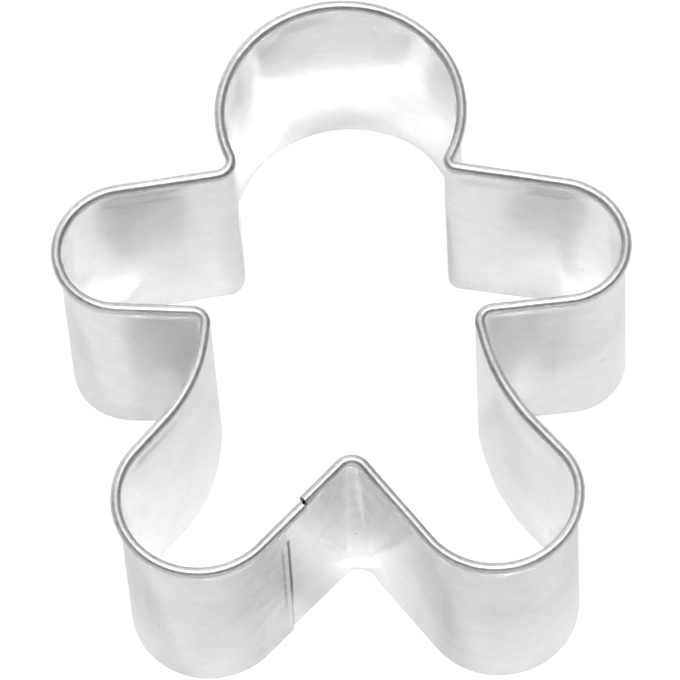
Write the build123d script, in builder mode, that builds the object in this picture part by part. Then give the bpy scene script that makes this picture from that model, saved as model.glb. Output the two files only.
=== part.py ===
from build123d import *
from math import asin, atan2, degrees, hypot, radians, sqrt, tan
import os

# Cookie cutter: one strip of tinplate bent into the outline of a plain gingerbread figure.
# Millimetres, +Z up, the figure's head towards +Y. The cutting edge lies on the plane z = 0
# and the folded safe edge, the hem, is on top. The origin is the middle of that plane.

# The figure, measured along the middle of the wall
figure_width = 48.7
figure_length = 54.4
head_radius = 10.25
wall_height = 22.2

# The strip and its hem, which folds outward and closes towards the wall like a drop
strip_thickness = 0.25
hem_width = 0.9
hem_height = 2.0
hem_tip_gap = 0.05

# Inside radius of the hem at each inward fold of the figure
right_neck_fold_radius = 0.25
left_neck_fold_radius = 0.9
armpit_fold_radius = 0.75
crotch_fold_radius = 0.85

# The lap on the inner side of the left leg
lap_length = 3.2
lap_gap = 0.03
lap_top_drop = 1.6
hem_tab_length = 2.0
hem_end_gap = 0.4

# The spot welds through both layers of the lap
weld_radius = 0.9
weld_dimple = 0.04
weld_cut_overrun = 0.1
weld_height_shares = (0.30, 0.64)

# Corners of the figure before rounding, from the head's centre: the share of half the
# width to the side, and the share of the length downward
right_corner_shares = [
    (0.948, 0.156),  # arm end, upper corner
    (1.059, 0.331),  # arm end, lower corner
    (0.462, 0.359),  # armpit
    (0.537, 0.501),  # waist, where the leg turns outward
    (0.823, 0.651),  # foot, outer corner
    (0.771, 1.028),  # foot, inner corner
]
left_corner_shares = [
    (0.954, 0.152),
    (1.055, 0.336),
    (0.460, 0.352),
    (0.496, 0.489),
    (0.775, 0.639),
    (0.798, 1.016),
]
crotch_shares = (0.039, 0.602)

# Height of each shoulder line below the head's centre, where it crosses the middle
right_shoulder_share = 0.078
left_shoulder_share = 0.089

# How much of an edge the rounding at each of its ends takes
arm_end_round_shares = (0.385, 0.610)
waist_round_share = 0.60
foot_round_shares = (0.108, 0.889)

fold_outer_radius = hem_width / 2
fold_inner_radius = fold_outer_radius - strip_thickness
hem_reach = hem_width - strip_thickness / 2
lap_step = strip_thickness + lap_gap


def plan_point(side, shares):
    """A corner of the figure. side is 1 on the right and -1 on the left."""
    across, down = shares
    return Vector(side * across * figure_width / 2, -down * figure_length)


def radius_at(before, corner, after, tangent_length):
    """The radius whose arc leaves the two edges at the tangent length from the corner."""
    turn = radians((corner - before).get_angle(after - corner))
    return tangent_length / tan(turn / 2)


def neck_points(side, shoulder_share, arm_corner, hem_fold_radius):
    """Where the small fold at the neck meets the shoulder line and the head's circle."""
    shoulder = Vector(0, -shoulder_share * figure_length)
    along = (arm_corner - shoulder).normalized()
    above = along.rotate(Axis.Z, side * 90)
    fold_radius = hem_reach + hem_fold_radius
    level = shoulder + above * fold_radius
    reach = head_radius + fold_radius
    run = sqrt(level.dot(along) ** 2 - level.dot(level) + reach**2) - level.dot(along)
    centre = level + along * run
    return centre - above * fold_radius, centre * (head_radius / reach)


def side_radii(crotch, corners, neck):
    """The roundings of one side, from the foot's inner corner up to the arm's upper corner."""
    arm_top, arm_low, armpit, waist, foot_out, foot_in = corners
    arm_end = (arm_low - arm_top).length
    foot_edge = (foot_in - foot_out).length
    waist_edge = (waist - armpit).length
    return [
        radius_at(crotch, foot_in, foot_out, foot_round_shares[1] * foot_edge),
        radius_at(foot_in, foot_out, waist, foot_round_shares[0] * foot_edge),
        radius_at(foot_out, waist, armpit, waist_round_share * waist_edge),
        hem_reach + armpit_fold_radius,
        radius_at(armpit, arm_low, arm_top, arm_end_round_shares[1] * arm_end),
        radius_at(arm_low, arm_top, neck, arm_end_round_shares[0] * arm_end),
    ]


# The two layers of the lap are parallel, so the outer one aims just beside the crotch
right_corners = [plan_point(1, shares) for shares in right_corner_shares]
left_corners = [plan_point(-1, shares) for shares in left_corner_shares]
crotch = plan_point(1, crotch_shares)
left_foot = left_corners[-1]
leg_length = (crotch - left_foot).length
leg_way = (crotch - left_foot).normalized().rotate(Axis.Z, -degrees(asin(lap_step / leg_length)))
leg_run = sqrt(leg_length**2 - lap_step**2)
foot_tangent = foot_round_shares[1] * (left_foot - left_corners[-2]).length

# The inner layer stops where the foot starts to round, and the outer one a lap before that
inner_end_run = leg_run - foot_tangent
outer_end_run = inner_end_run - lap_length
hem_start_run = outer_end_run - hem_tab_length - hem_end_gap
hem_start = crotch - leg_way * hem_start_run
outer_end = left_foot + leg_way * (foot_tangent + lap_length)

right_shoulder, right_head = neck_points(
    1, right_shoulder_share, right_corners[0], right_neck_fold_radius
)
left_shoulder, left_head = neck_points(
    -1, left_shoulder_share, left_corners[0], left_neck_fold_radius
)
right_radii = side_radii(crotch, right_corners, right_shoulder)
left_radii = side_radii(outer_end, left_corners, left_shoulder)

with BuildLine() as figure:
    FilletPolyline(
        hem_start,
        crotch,
        *reversed(right_corners),
        right_shoulder,
        radius=[hem_reach + crotch_fold_radius, *right_radii],
    )
    TangentArc(right_shoulder, right_head, tangent=right_shoulder - right_corners[0])
    head = ThreePointArc(right_head, (0, head_radius), left_head)
    TangentArc(left_head, left_shoulder, tangent=head % 1)
    FilletPolyline(left_shoulder, *left_corners, outer_end, radius=list(reversed(left_radii)))

# The path of the strip, with the origin moved from the head's centre to the figure's middle
middle = figure.line.bounding_box().center()
path = figure.wire().moved(Location((-middle.X, -middle.Y, 0)))
along = path % 1
outward = along.rotate(Axis.Z, -90)
start_plane = Plane(origin=path @ 0, x_dir=outward, z_dir=-along)
end_plane = Plane(origin=path @ 1, x_dir=outward, z_dir=-along)

# The hem's section, in a plane whose x is outward from the wall's middle and y is up
fold_centre = Vector(fold_outer_radius - strip_thickness / 2, wall_height - fold_outer_radius)
fold_mid_radius = (fold_outer_radius + fold_inner_radius) / 2
tip_middle = Vector(strip_thickness + hem_tip_gap, wall_height - hem_height)
tip_side = fold_centre.X - tip_middle.X
tip_drop = fold_centre.Y - tip_middle.Y
tip_distance = hypot(tip_side, tip_drop)
leg_lean = degrees(asin(fold_mid_radius / tip_distance) + atan2(tip_side, tip_drop))
leg_drop = sqrt(tip_distance**2 - fold_mid_radius**2)


def wall_face(height):
    """The plain wall, from the cutting edge up."""
    with Locations((0, height / 2)):
        Rectangle(strip_thickness, height)


def hem_face():
    """The fold over the top and the free leg that leans back to the wall."""
    with BuildLine() as outline:
        over = CenterArc(fold_centre, fold_outer_radius, -leg_lean, 180 + leg_lean)
        under = CenterArc(fold_centre, fold_inner_radius, -leg_lean, 180 + leg_lean)
        down = Vector(0, -leg_drop).rotate(Axis.Z, -leg_lean)
        outer_leg = Line(over @ 0, over @ 0 + down)
        inner_leg = Line(under @ 0, under @ 0 + down)
        Line(outer_leg @ 1, inner_leg @ 1)
        Line(over @ 1, under @ 1)
    make_face(outline.edges())


# Where the welds sit: the middle of the lap, on the outer layer's outer face
weld_planes = [
    Plane(
        origin=path @ 1 - along * (lap_length / 2) + outward * (strip_thickness / 2)
        + Vector(0, 0, share * wall_height),
        z_dir=outward,
    )
    for share in weld_height_shares
]
lap_depth = strip_thickness + lap_step

with BuildPart() as cutter_band:
    # The hemmed strip round the whole figure
    with BuildSketch(start_plane) as section:
        wall_face(fold_centre.Y)
        hem_face()
    sweep(sections=section.sketch, path=path)
    # The inner layer runs on behind the outer one with its hem cut away
    with BuildSketch(start_plane):
        wall_face(wall_height - lap_top_drop)
    extrude(amount=inner_end_run - hem_start_run)
    # The outer layer's hem runs on past its sheared end as a short tab
    with BuildSketch(end_plane):
        hem_face()
    extrude(amount=-hem_tab_length)
    # The welds take the place of the sheet through both layers
    for weld_plane in weld_planes:
        with BuildSketch(weld_plane.offset(weld_cut_overrun)):
            Circle(weld_radius)
        extrude(amount=-lap_depth - 2 * weld_cut_overrun, mode=Mode.SUBTRACT)
cutter_band.part.label = "cutter_band"


def spot_weld(weld_plane):
    """One weld nugget, sunk a little below both faces by the electrodes."""
    with BuildPart() as nugget:
        with BuildSketch(weld_plane.offset(-weld_dimple)):
            Circle(weld_radius)
        extrude(amount=2 * weld_dimple - lap_depth)
    return nugget


spot_weld_lower, spot_weld_upper = [spot_weld(weld_plane) for weld_plane in weld_planes]
spot_weld_lower.part.label = "spot_weld_lower"
spot_weld_upper.part.label = "spot_weld_upper"

os.makedirs("parts", exist_ok=True)
for piece in (cutter_band, spot_weld_lower, spot_weld_upper):
    export_step(piece.part, f"parts/{piece.part.label}.step")
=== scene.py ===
from math import asin, atan2, ceil, cos, hypot, pi, radians, sin, sqrt, tan

import bmesh
import bpy
from mathutils import Matrix, Vector, noise


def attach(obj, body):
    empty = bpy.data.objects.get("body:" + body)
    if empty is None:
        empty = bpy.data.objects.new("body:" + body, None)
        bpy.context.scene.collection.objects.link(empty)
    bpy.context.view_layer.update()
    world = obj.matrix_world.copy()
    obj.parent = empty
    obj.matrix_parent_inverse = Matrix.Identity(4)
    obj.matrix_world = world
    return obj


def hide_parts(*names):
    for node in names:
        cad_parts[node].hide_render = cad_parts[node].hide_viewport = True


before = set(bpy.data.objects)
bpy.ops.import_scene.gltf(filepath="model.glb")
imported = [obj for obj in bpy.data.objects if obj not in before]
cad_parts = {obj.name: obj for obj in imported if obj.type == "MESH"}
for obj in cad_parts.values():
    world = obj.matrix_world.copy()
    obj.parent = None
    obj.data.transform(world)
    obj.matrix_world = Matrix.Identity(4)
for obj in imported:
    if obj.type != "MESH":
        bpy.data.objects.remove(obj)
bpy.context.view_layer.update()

# Cookie cutter: one strip of tinplate bent into the outline of a plain gingerbread figure.
# Metres, +Z up, the figure's head towards +Y. The cutting edge lies on the plane z = 0
# and the folded safe edge, the hem, is on top.

MM = 0.001

# The figure, measured along the middle of the wall
figure_width = 48.7 * MM
figure_length = 54.4 * MM
head_radius = 10.25 * MM
wall_height = 22.2 * MM

# The strip and its hem
strip_thickness = 0.25 * MM
hem_width = 0.9 * MM
hem_height = 2.0 * MM
hem_tip_gap = 0.05 * MM

# Inside radius of the hem at each inward fold of the figure
right_neck_fold_radius = 0.25 * MM
left_neck_fold_radius = 0.9 * MM
armpit_fold_radius = 0.75 * MM
crotch_fold_radius = 0.85 * MM

# The lap on the inner side of the left leg and its spot welds
lap_length = 3.2 * MM
lap_gap = 0.03 * MM
lap_top_drop = 1.6 * MM
hem_tab_length = 2.0 * MM
hem_end_gap = 0.4 * MM
weld_radius = 0.9 * MM
weld_dimple = 0.04 * MM
weld_height_shares = (0.30, 0.64)

# Corners of the figure before rounding, from the head's centre: the share of half the
# width to the side, and the share of the length downward
right_corner_shares = [
    (0.948, 0.156),
    (1.059, 0.331),
    (0.462, 0.359),
    (0.537, 0.501),
    (0.823, 0.651),
    (0.771, 1.028),
]
left_corner_shares = [
    (0.954, 0.152),
    (1.055, 0.336),
    (0.460, 0.352),
    (0.496, 0.489),
    (0.775, 0.639),
    (0.798, 1.016),
]
crotch_shares = (0.039, 0.602)
right_shoulder_share = 0.078
left_shoulder_share = 0.089
arm_end_round_shares = (0.385, 0.610)
waist_round_share = 0.60
foot_round_shares = (0.108, 0.889)

hem_reach = hem_width - strip_thickness / 2
lap_step = strip_thickness + lap_gap


# The plan line of the strip

class Line:
    """A straight run of the plan line."""

    def __init__(self, start, end):
        self.start = start
        self.length = (end - start).length
        self.way = (end - start).normalized()
        self.step = line_step

    def at(self, run):
        return self.start + self.way * run, self.way


class Arc:
    """A round run of the plan line. The turn is positive to the left."""

    def __init__(self, centre, start, turn):
        self.centre = centre
        self.radius = (start - centre).length
        self.angle = atan2(start.y - centre.y, start.x - centre.x)
        self.turn = turn
        self.length = abs(turn) * self.radius
        self.step = min(line_step, self.radius * arc_step)

    def at(self, run):
        angle = self.angle + self.turn * run / self.length
        spoke = Vector((cos(angle), sin(angle)))
        side = 1 if self.turn > 0 else -1
        return self.centre + spoke * self.radius, Vector((-spoke.y, spoke.x)) * side


line_step = 0.45 * MM
arc_step = radians(6)


def turned(vector, angle):
    """A plan vector turned to the left."""
    return Matrix.Rotation(angle, 2) @ vector


def plan_point(side, shares):
    """A corner of the figure. side is 1 on the right and -1 on the left."""
    across, down = shares
    return Vector((side * across * figure_width / 2, -down * figure_length))


def turn_at(before, corner, after):
    """How far the plan line turns to the left at a corner."""
    come, go = corner - before, after - corner
    return atan2(come.x * go.y - come.y * go.x, come.dot(go))


def radius_at(before, corner, after, tangent_length):
    """The radius whose arc leaves the two edges at the tangent length from the corner."""
    return tangent_length / tan(abs(turn_at(before, corner, after)) / 2)


def rounded(points, radii):
    """Straight runs through the points, with a tangent arc at each corner."""
    runs = []
    start = points[0]
    for before, corner, after, radius in zip(points, points[1:], points[2:], radii):
        turn = turn_at(before, corner, after)
        reach = radius * tan(abs(turn) / 2)
        come = (corner - before).normalized()
        arc_start = corner - come * reach
        side = 1 if turn > 0 else -1
        centre = arc_start + Vector((-come.y, come.x)) * radius * side
        runs += [Line(start, arc_start), Arc(centre, arc_start, turn)]
        start = runs[-1].at(runs[-1].length)[0]
    return runs + [Line(start, points[-1])]


def neck_points(side, shoulder_share, arm_corner, hem_fold_radius):
    """Where the fold at the neck meets the shoulder line and the head, and its centre."""
    shoulder = Vector((0, -shoulder_share * figure_length))
    along = (arm_corner - shoulder).normalized()
    above = turned(along, side * pi / 2)
    fold_radius = hem_reach + hem_fold_radius
    level = shoulder + above * fold_radius
    reach = head_radius + fold_radius
    run = sqrt(level.dot(along) ** 2 - level.dot(level) + reach**2) - level.dot(along)
    centre = level + along * run
    return centre - above * fold_radius, centre * (head_radius / reach), centre


def side_radii(crotch, corners, neck):
    """The roundings of one side, from the foot's inner corner up to the arm's upper corner."""
    arm_top, arm_low, armpit, waist, foot_out, foot_in = corners
    arm_end = (arm_low - arm_top).length
    foot_edge = (foot_in - foot_out).length
    waist_edge = (waist - armpit).length
    return [
        radius_at(crotch, foot_in, foot_out, foot_round_shares[1] * foot_edge),
        radius_at(foot_in, foot_out, waist, foot_round_shares[0] * foot_edge),
        radius_at(foot_out, waist, armpit, waist_round_share * waist_edge),
        hem_reach + armpit_fold_radius,
        radius_at(armpit, arm_low, arm_top, arm_end_round_shares[1] * arm_end),
        radius_at(arm_low, arm_top, neck, arm_end_round_shares[0] * arm_end),
    ]


right_corners = [plan_point(1, shares) for shares in right_corner_shares]
left_corners = [plan_point(-1, shares) for shares in left_corner_shares]
crotch = plan_point(1, crotch_shares)
left_foot = left_corners[-1]
leg_length = (crotch - left_foot).length
leg_way = turned((crotch - left_foot).normalized(), -asin(lap_step / leg_length))
leg_run = sqrt(leg_length**2 - lap_step**2)
foot_tangent = foot_round_shares[1] * (left_foot - left_corners[-2]).length
inner_end_run = leg_run - foot_tangent
outer_end_run = inner_end_run - lap_length
hem_start_run = outer_end_run - hem_tab_length - hem_end_gap
tail_length = inner_end_run - hem_start_run
hem_start = crotch - leg_way * hem_start_run
outer_end = left_foot + leg_way * (foot_tangent + lap_length)

right_shoulder, right_head, right_neck = neck_points(
    1, right_shoulder_share, right_corners[0], right_neck_fold_radius
)
left_shoulder, left_head, left_neck = neck_points(
    -1, left_shoulder_share, left_corners[0], left_neck_fold_radius
)


def arc_between(centre, start, end, side):
    """An arc about a centre that turns to the left for side 1 and to the right for -1."""
    first, last = start - centre, end - centre
    turn = atan2(first.x * last.y - first.y * last.x, first.dot(last))
    if turn * side < 0:
        turn += side * 2 * pi
    return Arc(centre, start, turn)


runs = rounded(
    [hem_start, crotch, *reversed(right_corners), right_shoulder],
    [hem_reach + crotch_fold_radius, *side_radii(crotch, right_corners, right_shoulder)],
)
runs.append(arc_between(right_neck, right_shoulder, right_head, -1))
runs.append(arc_between(Vector((0, 0)), right_head, left_head, 1))
runs.append(arc_between(left_neck, left_head, left_shoulder, -1))
left_radii = side_radii(outer_end, left_corners, left_shoulder)
runs += rounded([left_shoulder, *left_corners, outer_end], list(reversed(left_radii)))
path_length = sum(run.length for run in runs)


def path_at(distance):
    """The point and way of the plan line at a distance, straight on past both ends."""
    for run in runs:
        if distance <= run.length or run is runs[-1]:
            break
        distance -= run.length
    inside = min(max(distance, 0), run.length)
    point, way = run.at(inside)
    return point + way * (distance - inside), way


def stations_between(start, end, step):
    """Distances in even steps, without the end."""
    count = max(1, ceil((end - start) / step))
    return [start + (end - start) * i / count for i in range(count)]


# The figure's middle is the origin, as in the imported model
extent = [path_at(d)[0] for d in stations_between(0, path_length, line_step / 4)]
middle = Vector([(min(p[i] for p in extent) + max(p[i] for p in extent)) / 2 for i in (0, 1)])
for run in runs:
    if isinstance(run, Line):
        run.start = run.start - middle
    else:
        run.centre = run.centre - middle

# The section of the strip: rows along the middle of the sheet from the cutting edge up,
# over the fold and down the hem's leg, each with the way that faces out of the wall
edge_round = 0.04 * MM
sheet_smooth_angle = radians(38)
weld_smooth_angle = radians(50)
row_step = 0.85 * MM
swell_height = 2.3 * MM
swell_size = 0.50 * MM
swell_rows = 10
fold_rows = 14
leg_rows = 5
weld_patch = 1.35 * MM
weld_steps = 8
weld_sink_radius = 1.2 * weld_radius
weld_ring_shares = (0.3, 0.6, 0.85, 1.0)
burr_steps = 8

half_thickness = strip_thickness / 2
fold_lean = -atan2(swell_size, swell_height)
fold_radius = (hem_width - strip_thickness) / (1 + cos(fold_lean))
fold_centre = Vector((
    hem_width - strip_thickness - fold_radius,
    wall_height - half_thickness - fold_radius,
))
fold_start = fold_centre.y + fold_radius * sin(fold_lean)
tip = Vector((strip_thickness + hem_tip_gap, wall_height - hem_height))
tip_side, tip_drop = fold_centre - tip
tip_distance = hypot(tip_side, tip_drop)
leg_lean = asin(fold_radius / tip_distance) + atan2(tip_side, tip_drop)
leg_drop = sqrt(tip_distance**2 - fold_radius**2)
tail_top = wall_height - lap_top_drop
weld_heights = [share * wall_height for share in weld_height_shares]


class Row:
    """One line along the strip: its place in the section, its facing and half thickness."""

    def __init__(self, u, v, facing, half, reach):
        self.u, self.v, self.facing, self.half, self.reach = u, v, facing, half, reach


def section_rows():
    """The rows of the section."""
    heights = [0, edge_round]
    low, high = weld_heights
    spans = [
        (edge_round, low - weld_patch, row_step),
        (low - weld_patch, low + weld_patch, 2 * weld_patch / weld_steps),
        (low + weld_patch, high - weld_patch, row_step),
        (high - weld_patch, high + weld_patch, 2 * weld_patch / weld_steps),
        (high + weld_patch, fold_start - swell_height, row_step),
        (fold_start - swell_height, tail_top, swell_height / swell_rows),
        (tail_top, fold_start, swell_height / swell_rows),
    ]
    for start, end, step in spans:
        heights += stations_between(start, end, step)[1:] + [end]
    half = half_thickness
    rows = []
    for height in heights:
        share = max(0, 1 - (fold_start - height) / swell_height)
        out = swell_size * share**2 * (1 - share)
        lean = atan2(swell_size * share * (2 - 3 * share), swell_height)
        rows.append(Row(out, height, Vector((cos(lean), -sin(lean))), half, height))
    rows[0].half = half - edge_round
    reach = rows[-1].reach
    start_angle = pi - fold_lean
    for i in range(1, fold_rows + 1):
        angle = start_angle - (start_angle + leg_lean) * i / fold_rows
        spoke = Vector((cos(angle), sin(angle)))
        place = fold_centre + spoke * fold_radius
        along = reach + (start_angle - angle) * fold_radius
        rows.append(Row(place.x, place.y, -spoke, half, along))
    last = rows[-1]
    down = Vector((-sin(leg_lean), -cos(leg_lean)))
    drops = [leg_drop * i / leg_rows for i in range(1, leg_rows)] + [leg_drop - edge_round, leg_drop]
    for drop in drops:
        place = Vector((last.u, last.v)) + down * drop
        rows.append(Row(place.x, place.y, last.facing, half, last.reach + drop))
    rows[-1].half = half - edge_round
    return rows


rows = section_rows()
wall_rows = [i for i, row in enumerate(rows) if row.reach <= fold_start + edge_round]


def row_at(height):
    """The index of the wall's row nearest to a height."""
    return min(wall_rows, key=lambda i: abs(rows[i].v - height))


tail_top_row = row_at(tail_top)
fold_row = row_at(fold_start)

# How the real sheet strays from the plain shape, as it was bent by hand over a form
sway_size = 0.05 * MM
sway_wave = 7 * MM
tilt_size = 0.16 * MM
tilt_wave = 16 * MM
dent_size = 0.012 * MM
dent_wave = 3.5 * MM
hem_slack_share = 0.05
hem_wave = 2.5 * MM
# Upright creases where the sheet was bent: distance along the strip, size and half width
creases = [
    (38.9 * MM, 0.06 * MM, 1.6 * MM),
    (98.2 * MM, -0.05 * MM, 2.4 * MM),
    (102.9 * MM, 0.11 * MM, 3.2 * MM),
    (117.8 * MM, 0.11 * MM, 3.2 * MM),
    (121.6 * MM, -0.05 * MM, 2.4 * MM),
    (142.9 * MM, 0.07 * MM, 2.2 * MM),
    (158.4 * MM, 0.07 * MM, 2.2 * MM),
]
burr_width = 0.5 * MM
burr_lift = 0.05 * MM
burr_fade = 2.0 * MM
ragged_size = 0.05 * MM
ragged_wave = 1.1 * MM


def bend(point, outward):
    """Moves a point of the sheet off the plain shape, outward or inward in plan."""
    place = Vector((point.x, point.y, 0))
    below = 1 - point.z / wall_height
    sway = sway_size * noise.noise(place / sway_wave) * min(1, 3 * below)
    tilt = tilt_size * noise.noise(place / tilt_wave + Vector((9, 4, 2))) * below
    dent = dent_size * noise.noise(point / dent_wave) * min(1, 3 * below)
    return point + outward.to_3d() * (sway + tilt + dent)


def crease_at(distance, height):
    """How far the upright creases stand out, less towards the stiff hem."""
    out = sum(size * max(0, 1 - abs(distance - place) / reach) for place, size, reach in creases)
    return out * min(1, 3 * (1 - height / wall_height))


def end_burr(distance, row):
    """How far the wall's sheared end stands out, and how far it strays, but not the hem's."""
    share = 1 - abs(path_length - distance) / burr_width
    if share <= 0 or row.u > 0 or row.v > fold_start:
        return 0, 0
    share *= min(1, (fold_start - row.v) / burr_fade)
    ragged = ragged_size * noise.noise(Vector((row.v / ragged_wave, 7, 3)))
    return burr_lift * sin(pi * min(1, 1.5 * share)), ragged * share


def sheet_point(distance, row, side):
    """A point of the strip. side is -1 on the figure's side and 1 on the other face."""
    lift, stray = end_burr(distance, row)
    point, way = path_at(distance + stray)
    outward = Vector((way.y, -way.x))
    u = row.u + side * row.facing.x * row.half + lift + crease_at(distance, row.v)
    v = row.v + side * row.facing.y * row.half
    slack = hem_slack_share * (0.5 + 0.5 * noise.noise(point.to_3d() / hem_wave))
    u -= max(0, u - strip_thickness / 2) * slack
    plan = point + outward * u
    return bend(Vector((plan.x, plan.y, v)), outward)


def wall_point(distance, height, out):
    """A point at a distance out from the middle of the wall."""
    point, way = path_at(distance)
    outward = Vector((way.y, -way.x))
    plan = point + outward * out
    return bend(Vector((plan.x, plan.y, height)), outward)


# Distances of the grid's columns along the strip
tail_start = -tail_length
weld_on_outer = path_length - lap_length / 2
weld_on_inner = tail_start + lap_length / 2


def spread(start, end, step, first=False):
    """Distances in even steps from start to end, with the end and, if first, the start."""
    inner = stations_between(start, end, step)
    return (inner if first else inner[1:]) + [end]


def column_distances():
    """All columns: the hidden tail, the whole figure, the outer layer's end and its tab."""
    patch_step = 2 * weld_patch / weld_steps
    columns = [tail_start] + [tail_start + edge_round]
    columns += spread(columns[-1], weld_on_inner - weld_patch, line_step)
    columns += spread(columns[-1], weld_on_inner + weld_patch, patch_step)
    columns += spread(columns[-1], 0, line_step)
    run_start = 0
    for run in runs[:-1]:
        columns += spread(run_start, run_start + run.length, run.step)
        run_start += run.length
    columns += spread(columns[-1], weld_on_outer - weld_patch, line_step)
    columns += spread(columns[-1], weld_on_outer + weld_patch, patch_step)
    columns += spread(columns[-1], path_length - edge_round, burr_width / burr_steps)
    columns += [path_length]
    columns += spread(path_length, path_length + hem_tab_length, line_step)
    return columns


columns = column_distances()


def column_at(distance):
    """The index of the column nearest to a distance."""
    return min(range(len(columns)), key=lambda i: abs(columns[i] - distance))


hem_start_column = column_at(0)
outer_end_column = column_at(path_length)
last_column = len(columns) - 1


def weld_ring(layer_distance, height, radius):
    """Distances and heights round a weld, in step with the rim of its square patch."""
    half = weld_steps // 2
    rim = [(i, -half) for i in range(-half, half)]
    rim += [(half, i) for i in range(-half, half)]
    rim += [(-i, half) for i in range(-half, half)]
    rim += [(-half, -i) for i in range(-half, half)]
    ring = []
    for i, j in rim:
        scale = radius / hypot(i, j)
        ring.append((layer_distance + i * scale, height + j * scale))
    return ring


strip_unit = 100 * MM
inner_face_shift = 50 * MM


class BandMesh:
    """Collects the strip's vertices and faces with their place along and across the strip."""

    def __init__(self):
        self.mesh = bmesh.new()
        self.flat = self.mesh.loops.layers.uv.new("strip")
        self.cut = self.mesh.faces.layers.float.new("cut")
        self.grid = {}
        self.places = {}

    def vertex(self, point, along, across, side):
        vert = self.mesh.verts.new(point)
        self.places[vert] = (along, across + (inner_face_shift if side < 0 else 0))
        return vert

    def node(self, column, row, side):
        """The grid's vertex, made when it is first asked for."""
        key = (column, row, side)
        if key not in self.grid:
            distance = columns[column]
            point = sheet_point(distance, rows[row], side)
            self.grid[key] = self.vertex(point, distance, rows[row].reach, side)
        return self.grid[key]

    def face(self, *verts, cut=0.0):
        face = self.mesh.faces.new(verts)
        face[self.cut] = cut
        for loop in face.loops:
            along, across = self.places[loop.vert]
            loop[self.flat].uv = (along / strip_unit, across / strip_unit)
        return face


def has_sheet(column, row):
    """Whether the strip has metal in the cell that starts at this column and row."""
    if not (0 <= column < last_column and 0 <= row < len(rows) - 1):
        return False
    if column < hem_start_column:
        return row < tail_top_row
    if column >= outer_end_column:
        return row >= fold_row
    return True


def weld_cells():
    """The cells that each weld's round patch takes the place of, by layer and height."""
    cells = {}
    half = weld_steps // 2
    for distance in (weld_on_inner, weld_on_outer):
        for height in weld_heights:
            column, row = column_at(distance), row_at(height)
            for i in range(-half, half):
                for j in range(-half, half):
                    cells[(column + i, row + j)] = (distance, height)
    return cells


def add_cells(band):
    """The two faces of the sheet, and the closing faces wherever the sheet ends."""
    holes = weld_cells()
    neighbours = (((-1, 0), (0, 0), (0, 1)), ((1, 0), (1, 1), (1, 0)),
                  ((0, -1), (1, 0), (0, 0)), ((0, 1), (0, 1), (1, 1)))
    for column in range(last_column):
        for row in range(len(rows) - 1):
            if not has_sheet(column, row) or (column, row) in holes:
                continue
            for side in (-1, 1):
                corners = [(0, 0), (1, 0), (1, 1), (0, 1)][::side]
                band.face(*[band.node(column + i, row + j, side) for i, j in corners])
            for (i, j), first, second in neighbours:
                beside = (column + i, row + j)
                if has_sheet(*beside) or beside in holes:
                    continue
                a, b = [(column + p, row + q) for p, q in (first, second)]
                closing = [band.node(*a, -1), band.node(*b, -1), band.node(*b, 1), band.node(*a, 1)]
                band.face(*closing, cut=1.0)


def dish_depth(radius):
    """How far a weld's face is pressed in at a distance from its middle."""
    share = min(1, radius / weld_patch)
    return weld_dimple * (1 - share * share * (3 - 2 * share))


def dish_point(distance, height, radius, side, pressed):
    """A ring of points on a weld's face, or on the sheet round it."""
    out = side * (half_thickness - (dish_depth(radius) if pressed else 0))
    return [wall_point(along, up, out) for along, up in weld_ring(distance, height, radius)]


def band_between(face, first, second, side):
    """Faces between two rings that face outward for side 1 and inward for side -1."""
    for i in range(len(first)):
        k = (i + 1) % len(first)
        face(*[first[i], first[k], second[k], second[i]][::side])


def add_weld_patches(band):
    """Rings of the sheet that sink towards each weld, and the wall of its hole."""
    half = weld_steps // 2
    rim = [(-half + i, -half) for i in range(weld_steps)]
    rim += [(half, -half + i) for i in range(weld_steps)]
    rim += [(half - i, half) for i in range(weld_steps)]
    rim += [(-half, half - i) for i in range(weld_steps)]
    for distance, pressed_side in ((weld_on_inner, -1), (weld_on_outer, 1)):
        for height in weld_heights:
            column, row = column_at(distance), row_at(height)
            last = {}
            for side in (-1, 1):
                ring = [band.node(column + i, row + j, side) for i, j in rim]
                for radius in (weld_sink_radius, weld_radius):
                    places = weld_ring(distance, height, radius)
                    points = dish_point(distance, height, radius, side, side == pressed_side)
                    inner = [band.vertex(p, *place, side) for p, place in zip(points, places)]
                    band_between(band.face, ring, inner, side)
                    ring = inner
                last[side] = ring
            band_between(band.face, last[-1], last[1], 1)


def add_weld(name, height, material):
    """One weld nugget through both layers, dished a little on both faces."""
    mesh = bmesh.new()
    rings = []
    for distance, side in ((weld_on_inner, -1), (weld_on_outer, 1)):
        shares = weld_ring_shares if side < 0 else reversed(weld_ring_shares)
        for share in shares:
            points = dish_point(distance, height, share * weld_radius, side, True)
            rings.append([mesh.verts.new(point) for point in points])
    for first, second in zip(rings, rings[1:]):
        band_between(lambda *verts: mesh.faces.new(verts), first, second, 1)
    for ring, distance, side in ((rings[0], weld_on_inner, -1), (rings[-1], weld_on_outer, 1)):
        out = side * (half_thickness - weld_dimple)
        tip_vert = mesh.verts.new(wall_point(distance, height, out))
        for i in range(len(ring)):
            mesh.faces.new((ring[i], ring[(i + 1) % len(ring)], tip_vert))
    weld = link_mesh(name, mesh, material, weld_smooth_angle)
    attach(weld, "root")
    return weld


def link_mesh(name, mesh, material, smooth_angle):
    """Turns a finished bmesh into an object that is smooth up to an angle."""
    bmesh.ops.recalc_face_normals(mesh, faces=mesh.faces)
    data = bpy.data.meshes.new(name)
    for face in mesh.faces:
        face.smooth = True
    for edge in mesh.edges:
        edge.smooth = len(edge.link_faces) == 2 and edge.calc_face_angle() < smooth_angle
    mesh.to_mesh(data)
    mesh.free()
    piece = bpy.data.objects.new(name, data)
    bpy.context.scene.collection.objects.link(piece)
    data.materials.append(material)
    return piece


# Materials

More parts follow.
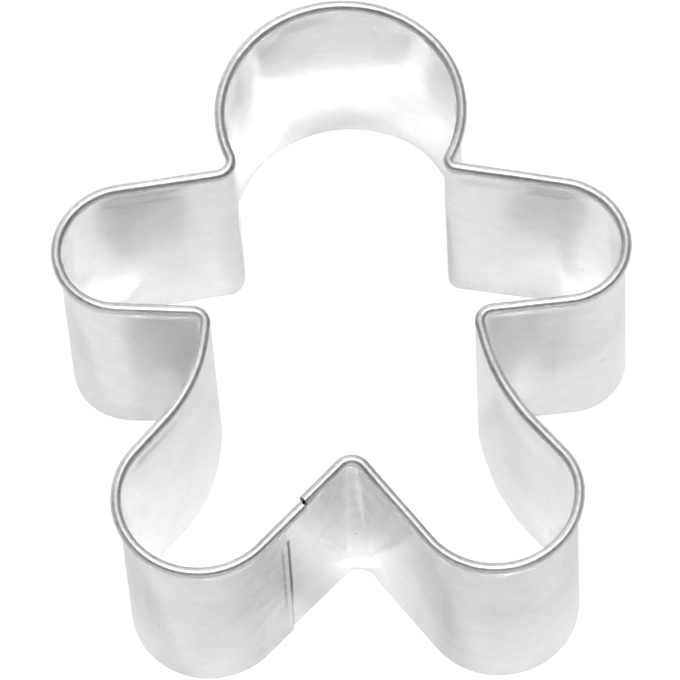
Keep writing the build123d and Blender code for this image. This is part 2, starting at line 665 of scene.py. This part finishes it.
# Single marks: place along and across the strip, half length and half height, all in
# millimetres, lean, the share of the size where the edge starts, and depth. The inner
# face lies past inner_face_shift across the strip.
inner_side = inner_face_shift / MM
sheet_marks = [
    (5.82, 7.1, 0.14, 0.16, 0, 0.6, 1.6),
    (191.75, 9.0, 0.05, 7.8, radians(-3.8), 0.2, 0.35),
    (190.9, 11.0, 0.8, 9.0, 0, 0.1, 0.18),
    (18.0, 9.0, 1.1, 9.0, 0, 0.1, 0.20),
    (38.9, inner_side + 9.0, 0.10, 7.5, 0, 0.1, 0.30),
    (38.0, inner_side + 8.0, 0.05, 2.9, radians(-3), 0.2, 0.35),
    (75.45, inner_side + 7.2, 0.13, 0.13, 0, 0.5, 1.2),
    (85.9, inner_side + 1.3, 0.15, 0.12, 0, 0.5, 1.0),
    (64.1, 7.9, 0.35, 0.5, radians(30), 0.2, 0.5),
    (64.7, 4.9, 0.3, 0.4, radians(20), 0.2, 0.4),
    # The next two are painted shade: soft upright dark streaks on the head's inner wall
    (121.2, inner_side + 11.0, 1.5, 10.5, 0, 0.1, 0.12),
    (98.0, inner_side + 12.0, 1.7, 10.0, 0, 0.1, 0.15),
    (59.7, 10.0, 0.5, 8.0, 0, 0.1, 0.15),
    # The last two are painted reflections: thin dark arcs beside the crotch fold
    (10.6, 10.9, 8.2, 0.5, radians(64.7), 0.1, 0.50),
    (3.2, 7.3, 3.5, 0.4, radians(-66.4), 0.1, 0.50),
]


class Nodes:
    """A material's node tree with short ways to add and join nodes."""

    def __init__(self, tree):
        self.tree = tree
        self.tree.nodes.clear()

    def add(self, kind, settings=None, inputs=None):
        node = self.tree.nodes.new(kind)
        for name, value in (settings or {}).items():
            setattr(node, name, value)
        for name, value in (inputs or {}).items():
            socket = node.inputs[name]
            if isinstance(value, bpy.types.NodeSocket):
                self.tree.links.new(value, socket)
            else:
                socket.default_value = value
        return node

    def math(self, operation, *values):
        """One Math node over sockets and numbers."""
        node = self.add("ShaderNodeMath", {"operation": operation})
        for socket, value in zip(node.inputs, values):
            if isinstance(value, bpy.types.NodeSocket):
                self.tree.links.new(value, socket)
            else:
                socket.default_value = value
        return node.outputs[0]

    def along(self, vector, way):
        """How far a vector points along a fixed way."""
        node = self.add("ShaderNodeVectorMath", {"operation": "DOT_PRODUCT"})
        self.tree.links.new(vector, node.inputs[0])
        node.inputs[1].default_value = way
        return node.outputs["Value"]

    def ramp(self, value, low, high, at_low, at_high):
        """A smooth step from one number to another."""
        node = self.add("ShaderNodeMapRange", {"interpolation_type": "SMOOTHSTEP"}, {
            "Value": value, "From Min": low, "From Max": high, "To Min": at_low, "To Max": at_high,
        })
        return node.outputs["Result"]

    def noise(self, place, along, across, detail):
        """Noise whose spots are so many millimetres along the strip and across it."""
        scaled = self.add("ShaderNodeVectorMath", {"operation": "MULTIPLY"})
        self.tree.links.new(place, scaled.inputs[0])
        scaled.inputs[1].default_value = (1 / along, 1 / across, 1 / across)
        node = self.add("ShaderNodeTexNoise", inputs={
            "Vector": scaled.outputs["Vector"], "Scale": 1.0, "Detail": detail,
        })
        return node.outputs["Fac"]

    def tweak(self, value, amount):
        """A noise value turned into a change up and down about zero."""
        return self.math("MULTIPLY_ADD", value, amount, -amount / 2)

    def less(self, value, mask, amount):
        """A value lowered where a mask is set, or raised for an amount below zero."""
        return self.math("MULTIPLY_ADD", mask, -amount, value)

    def window(self, value, start, full, fade, end):
        """A mask that rises from start to full and falls from fade to end."""
        return self.math("MINIMUM", self.ramp(value, start, full, 0, 1), self.ramp(value, fade, end, 1, 0))

    def marks(self, strip):
        """The single marks of the sheet, as soft or sharp ovals on the strip."""
        total = None
        for along, across, half_length, half_height, lean, edge, depth in sheet_marks:
            oval = self.add("ShaderNodeMapping", {"vector_type": "TEXTURE"}, {
                "Vector": strip, "Location": (along, across, 0), "Rotation": (0, 0, lean),
                "Scale": (half_length, half_height, 1),
            })
            far = self.add("ShaderNodeVectorMath", {"operation": "LENGTH"})
            self.tree.links.new(oval.outputs["Vector"], far.inputs[0])
            mark = self.ramp(far.outputs["Value"], edge, 1, depth, 0)
            total = self.math("MAXIMUM", total, mark) if total else mark
        return total

    def cut(self):
        """The mask of the sheared faces."""
        return self.add("ShaderNodeAttribute", {"attribute_name": "cut"}).outputs["Fac"]

    def added(self, first, second):
        """Two shaders added."""
        node = self.add("ShaderNodeAddShader")
        self.tree.links.new(first, node.inputs[0])
        self.tree.links.new(second, node.inputs[1])
        return node.outputs[0]

    def mixed(self, share, first, second):
        """A share of the second shader in place of the first."""
        node = self.add("ShaderNodeMixShader", inputs={"Fac": share})
        self.tree.links.new(first, node.inputs[1])
        self.tree.links.new(second, node.inputs[2])
        return node.outputs[0]


def tin_material(name, shine):
    """Bright tinplate: rolling grain, smudges, mottled tin, scratches, marks and stains. Painted shade
    darkens the cutting edge, the crotch's upper sheet, the seam and some marks, and a painted highlight
    lies along the burr.
    """
    material = bpy.data.materials.new(name)
    material.use_nodes = True
    nodes = Nodes(material.node_tree)
    strip = nodes.add("ShaderNodeVectorMath", {"operation": "SCALE"}, {
        "Vector": nodes.add("ShaderNodeUVMap", {"uv_map": "strip"}).outputs["UV"],
        "Scale": strip_unit / MM,
    }).outputs["Vector"]
    along = nodes.along(strip, Vector((1, 0, 0)))
    across = nodes.along(strip, Vector((0, 1, 0)))
    here = nodes.add("ShaderNodeTexCoord").outputs["Object"]
    height = nodes.along(here, Vector((0, 0, 1 / MM)))

    # Sizes are in millimetres along and across the strip
    grain = nodes.noise(strip, 3.2, 0.10, 3)
    brushed = nodes.noise(strip, 0.10, 2.6, 3)
    mottle = nodes.noise(strip, 0.46, 0.34, 4)
    cloud = nodes.noise(strip, 1.8, 1.4, 3)
    smudge = nodes.noise(strip, 6.0, 5.0, 2)
    scratchy = nodes.noise(strip, 0.12, 7.0, 1)
    rim_streak = nodes.noise(strip, 5.0, 0.22, 3)
    rim_speck = nodes.noise(strip, 0.5, 0.28, 3)

    top = wall_height / MM
    rim = nodes.ramp(height, top - 1.3, top - 0.5, 0, 1)
    # Painted contact shade: the tin is darker within 0.3 mm of the cutting edge
    foot_shade = nodes.ramp(height, 0.04, 0.30, 1, 0)
    scratch = nodes.ramp(scratchy, 0.72, 0.80, 0, 1)
    outer = nodes.ramp(across, inner_side / 2 - 1, inner_side / 2 + 1, 1, 0)

    # The heat stain beside the lap, and painted shade mottling the crotch's upper sheet; both get darker,
    # rougher blotches
    length = path_length / MM
    lap = nodes.window(along, length - 7.5, length - 4.0, length + 9, length + 10)
    crotch_shade = nodes.window(along, 0.0, 2.0, 10.0, 13.5)
    crotch_shade = nodes.math("MULTIPLY", crotch_shade, nodes.ramp(height, 5, 12, 0, 1))
    lap = nodes.math("MULTIPLY", lap, outer)
    stain_and_shade = nodes.math("MAXIMUM", lap, nodes.math("MULTIPLY", crotch_shade, outer))
    blotch_and_shade = nodes.ramp(nodes.math("ADD", cloud, nodes.tweak(mottle, 0.5)), 0.42, 0.62, 0, 1)
    blotch_and_shade = nodes.math("MULTIPLY", blotch_and_shade, stain_and_shade)

    # The sheared end: a painted dark line, a painted highlight along the burr and the painted shadow of
    # the crevice behind it
    ragged = nodes.math("ADD", along, nodes.tweak(nodes.noise(strip, 0.4, 0.5, 3), 0.6))
    seam_shade_line = nodes.window(ragged, length - 0.82, length - 0.66, length - 0.58, length - 0.42)
    seam_shade_line = nodes.math("MULTIPLY", seam_shade_line, nodes.window(height, 4, 9, 16, 17.6))
    burr_highlight = nodes.window(along, length - 0.46, length - 0.36, length - 0.20, length - 0.08)
    tail = (hem_start_run - outer_end_run) / MM
    narrow = nodes.ramp(height, 3.0, 8.5, 0.18, 0)
    past = nodes.math("ADD", along, narrow)
    crevice_shadow = nodes.window(past, tail - 0.30, tail - 0.20, tail + 0.46, tail + 0.66)
    crevice_shadow = nodes.math("MULTIPLY", crevice_shadow, nodes.ramp(height, 3.0, 8.5, 0.5, 1))
    crevice_shadow = nodes.math("MULTIPLY", crevice_shadow, nodes.ramp(height, 16.4, 17.2, 1, 0))
    seam_shade = nodes.math("MAXIMUM", crevice_shadow, nodes.math("MULTIPLY", seam_shade_line, 0.45))
    seam_shade = nodes.math("MULTIPLY", seam_shade, outer)
    burr_highlight = nodes.math("MULTIPLY", burr_highlight, nodes.ramp(height, 16.5, 17.5, 1, 0))

    tone = nodes.math("ADD", nodes.tweak(grain, 0.05), nodes.tweak(mottle, 0.16))
    tone = nodes.math("ADD", tone, nodes.tweak(cloud, 0.16))
    tone = nodes.math("ADD", tone, nodes.tweak(smudge, 0.15))
    tone = nodes.math("ADD", tone, nodes.tweak(brushed, 0.05))
    tone = nodes.math("ADD", tone, shine)
    # Painted shade at the foot, on the crotch, at the seam and in some marks, and a painted highlight on
    # the burr, join the tone here
    tone = nodes.less(tone, scratch, 0.05)
    tone = nodes.less(tone, lap, 0.07)
    tone = nodes.less(tone, blotch_and_shade, 0.10)
    tone = nodes.less(tone, foot_shade, 0.16)
    tone = nodes.less(tone, rim, 0.20)
    tone = nodes.less(tone, burr_highlight, -0.08)
    tone = nodes.less(tone, nodes.marks(strip), 0.30)
    rim_tone = nodes.math("ADD", nodes.tweak(rim_streak, 0.6), nodes.tweak(rim_speck, 0.4))
    rim_tone = nodes.math("MULTIPLY", rim_tone, rim)
    tone = nodes.math("ADD", tone, rim_tone)
    tone = nodes.math("MULTIPLY", tone, nodes.math("MULTIPLY_ADD", seam_shade, -0.85, 1))
    tone = nodes.math("MULTIPLY", tone, nodes.ramp(nodes.cut(), 0, 1, 1, 0.35))
    tone = nodes.math("MINIMUM", tone, 0.96)

    roughness = nodes.math("ADD", nodes.tweak(smudge, 0.09), 0.12)
    roughness = nodes.math("ADD", roughness, nodes.tweak(mottle, 0.07))
    roughness = nodes.less(roughness, rim, -0.34)
    roughness = nodes.less(roughness, blotch_and_shade, -0.10)
    roughness = nodes.less(roughness, scratch, -0.10)
    roughness = nodes.math("MAXIMUM", roughness, 0.06)

    relief = nodes.math("ADD", nodes.tweak(grain, 0.15), nodes.tweak(mottle, 1.8))
    relief = nodes.math("ADD", relief, nodes.tweak(cloud, 9))
    relief = nodes.less(relief, scratch, 2)
    relief = nodes.math("ADD", relief, nodes.math("MULTIPLY", nodes.tweak(rim_streak, 18), rim))
    relief = nodes.math("ADD", relief, nodes.math("MULTIPLY", nodes.tweak(rim_speck, 16), rim))
    bump = nodes.add("ShaderNodeBump", inputs={"Height": relief, "Distance": relief_unit})

    color = nodes.add("ShaderNodeCombineColor", inputs={"Red": tone, "Green": tone, "Blue": tone})
    shader = nodes.add("ShaderNodeBsdfPrincipled", inputs={
        "Base Color": color.outputs["Color"], "Metallic": 1.0, "Roughness": roughness,
        "Normal": bump.outputs["Normal"],
    })
    nodes.add("ShaderNodeOutputMaterial", inputs={"Surface": shader.outputs["BSDF"]})
    return material


def weld_material():
    """The fused and flattened face of a weld, a little duller than the tin round it."""
    material = bpy.data.materials.new("weld_metal")
    material.use_nodes = True
    nodes = Nodes(material.node_tree)
    here = nodes.add("ShaderNodeVectorMath", {"operation": "SCALE"}, {
        "Vector": nodes.add("ShaderNodeTexCoord").outputs["Object"], "Scale": 1 / MM,
    }).outputs["Vector"]
    mottle = nodes.noise(here, 0.4, 0.4, 4)
    cloud = nodes.noise(here, 1.5, 1.5, 3)
    tone = nodes.math("ADD", nodes.tweak(mottle, 0.30), 0.80)
    tone = nodes.math("ADD", tone, nodes.tweak(cloud, 0.25))
    roughness = nodes.math("ADD", nodes.tweak(mottle, 0.15), 0.16)
    relief = nodes.math("ADD", nodes.tweak(mottle, 12), nodes.tweak(cloud, 40))
    bump = nodes.add("ShaderNodeBump", inputs={"Height": relief, "Distance": relief_unit})
    color = nodes.add("ShaderNodeCombineColor", inputs={"Red": tone, "Green": tone, "Blue": tone})
    shader = nodes.add("ShaderNodeBsdfPrincipled", inputs={
        "Base Color": color.outputs["Color"], "Metallic": 1.0, "Roughness": roughness,
        "Normal": bump.outputs["Normal"],
    })
    nodes.add("ShaderNodeOutputMaterial", inputs={"Surface": shader.outputs["BSDF"]})
    return material


# One unit of relief is a thousandth of a millimetre
relief_unit = 0.001 * MM
tinplate = tin_material("tinplate", 0.88)
weld_metal = weld_material()


# The strip
band = BandMesh()
add_cells(band)
add_weld_patches(band)
cutter_band = link_mesh("tinplate_band", band.mesh, tinplate, sheet_smooth_angle)
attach(cutter_band, "root")
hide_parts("cutter_band")

for weld_name, height in zip(("spot_weld_lower", "spot_weld_upper"), weld_heights):
    weld = add_weld(weld_name + "_nugget", height, weld_metal)
    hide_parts(weld_name)

# The studio: a pale floor under small soft boxes, with soft glows overhead and behind and a
# pale sky near the horizon

floor_colour = 0.80
floor_size = 1.2
seen_floor_colour = 0.16
seen_floor_glow = 0.88
mirrored_floor_glow = 0.02

# Round soft boxes: name, elevation, azimuth, width as an angle, and share of the floor's light
lamp_distance = 1.6
lamps = [
    ("front_light", radians(75.5), radians(5), radians(5), 0.15),
    ("front_low_light", radians(66), radians(5), radians(12), 0.08),
    ("right_light", radians(73), radians(92), radians(5), 0.16),
    ("left_light", radians(75), radians(-75), radians(7), 0.08),
]

# The sky's brightness near the horizon and higher up
low_sky = 0.60
high_sky = 0.04
high_sky_height = 0.36
# Soft glows of the sky: elevation, azimuth, sharpness and brightness in the middle
glows = [
    (radians(88), 0, 20, 3.1),
    (radians(20), radians(-162), 5.6, 1.05),
    (radians(60), pi, 5.6, 0.25),
]
# The dark part of the room in front and to the right, how much light it lacks, and where
# it starts and is full, as cosines of the angle from its middle
dark_azimuth = radians(57)
dark_share = 0.65
dark_edge_cosine = 0.76
dark_middle_cosine = 0.97


def way_at(elevation, azimuth):
    """A direction. Azimuth 0 is the front, where y is negative, and turns towards +X."""
    flat = cos(elevation)
    return Vector((sin(azimuth) * flat, -cos(azimuth) * flat, sin(elevation)))


def add_floor():
    """A pale floor that the camera sees as white with the object's faint shadow."""
    mesh = bmesh.new()
    bmesh.ops.create_grid(mesh, x_segments=1, y_segments=1, size=floor_size / 2)
    material = bpy.data.materials.new("floor")
    material.use_nodes = True
    nodes = Nodes(material.node_tree)
    light_path = nodes.add("ShaderNodeLightPath").outputs
    matte = nodes.add("ShaderNodeBsdfDiffuse", inputs={"Color": (floor_colour,) * 3 + (1,)})
    glow = nodes.add("ShaderNodeEmission", inputs={
        "Strength": nodes.math("MULTIPLY", light_path["Is Glossy Ray"], mirrored_floor_glow),
    })
    mirrored = nodes.added(matte.outputs[0], glow.outputs[0])
    faint = nodes.add("ShaderNodeBsdfDiffuse", inputs={"Color": (seen_floor_colour,) * 3 + (1,)})
    white = nodes.add("ShaderNodeEmission", inputs={"Strength": seen_floor_glow})
    seen = nodes.added(faint.outputs[0], white.outputs[0])
    surface = nodes.mixed(light_path["Is Camera Ray"], mirrored, seen)
    nodes.add("ShaderNodeOutputMaterial", inputs={"Surface": surface})
    floor = link_mesh("studio_floor", mesh, material, pi)


def add_lamp(name, elevation, azimuth, width, share):
    """A round lamp, with the energy that gives the floor its share of the light."""
    data = bpy.data.lights.new(name, "AREA")
    data.shape = "DISK"
    data.size = 2 * lamp_distance * tan(width / 2)
    away = way_at(elevation, azimuth)
    data.energy = share * pi * pi * lamp_distance**2 / away.z
    lamp = bpy.data.objects.new(name, data)
    lamp.location = away * lamp_distance
    lamp.rotation_euler = away.to_track_quat("Z", "Y").to_euler()
    lamp.visible_camera = False
    bpy.context.scene.collection.objects.link(lamp)


def add_sky():
    """The soft sky. The camera itself sees plain white."""
    world = bpy.data.worlds.new("studio")
    bpy.context.scene.world = world
    world.use_nodes = True
    nodes = Nodes(world.node_tree)
    way = nodes.add("ShaderNodeTexCoord").outputs["Generated"]
    height = nodes.along(way, Vector((0, 0, 1)))
    base = nodes.ramp(height, 0, high_sky_height, low_sky, high_sky)
    near_dark = nodes.along(way, way_at(0, dark_azimuth))
    shade = nodes.ramp(near_dark, dark_edge_cosine, dark_middle_cosine, 1, 1 - dark_share)
    sky = nodes.math("MULTIPLY", base, shade)
    for elevation, azimuth, sharpness, brightness in glows:
        near = nodes.along(way, way_at(elevation, azimuth))
        turn = nodes.math("MULTIPLY_ADD", near, sharpness, -sharpness)
        sky = nodes.math("MULTIPLY_ADD", nodes.math("EXPONENT", turn), brightness, sky)
    room = nodes.add("ShaderNodeBackground", inputs={"Color": (1, 1, 1, 1), "Strength": sky})
    seen = nodes.add("ShaderNodeBackground", inputs={"Color": (1, 1, 1, 1)})
    camera_ray = nodes.add("ShaderNodeLightPath").outputs["Is Camera Ray"]
    surface = nodes.mixed(camera_ray, room.outputs[0], seen.outputs[0])
    nodes.add("ShaderNodeOutputWorld", inputs={"Surface": surface})


add_floor()
add_sky()
for lamp in lamps:
    add_lamp(*lamp)

# The camera, at the photograph's angle
camera_elevation = radians(62.597)
camera_azimuth = radians(3.542)
camera_roll = radians(-4.152)
camera_distance = 726.86 * MM
camera_aim = Vector((-0.805, 5.759, 0.0)) * MM
frame_width = 36.0
focal_shares = 8182.9 / 680

camera_data = bpy.data.cameras.new("camera")
camera_data.sensor_width = frame_width
camera_data.lens = frame_width * focal_shares
camera_data.clip_start = 0.05
camera = bpy.data.objects.new("camera", camera_data)
back = Vector((
    sin(camera_azimuth) * cos(camera_elevation),
    -cos(camera_azimuth) * cos(camera_elevation),
    sin(camera_elevation),
))
level = Vector((cos(camera_azimuth), sin(camera_azimuth), 0))
turn = Matrix((level, back.cross(level), back)).transposed() @ Matrix.Rotation(camera_roll, 3, "Z")
camera.matrix_world = Matrix.Translation(camera_aim + back * camera_distance) @ turn.to_4x4()
bpy.context.scene.collection.objects.link(camera)
bpy.context.scene.camera = camera
bpy.context.scene.view_settings.view_transform = "Standard"
bpy.context.scene.cycles.blur_glossy = 0.0
bpy.context.scene.cycles.sample_clamp_indirect = 0.0
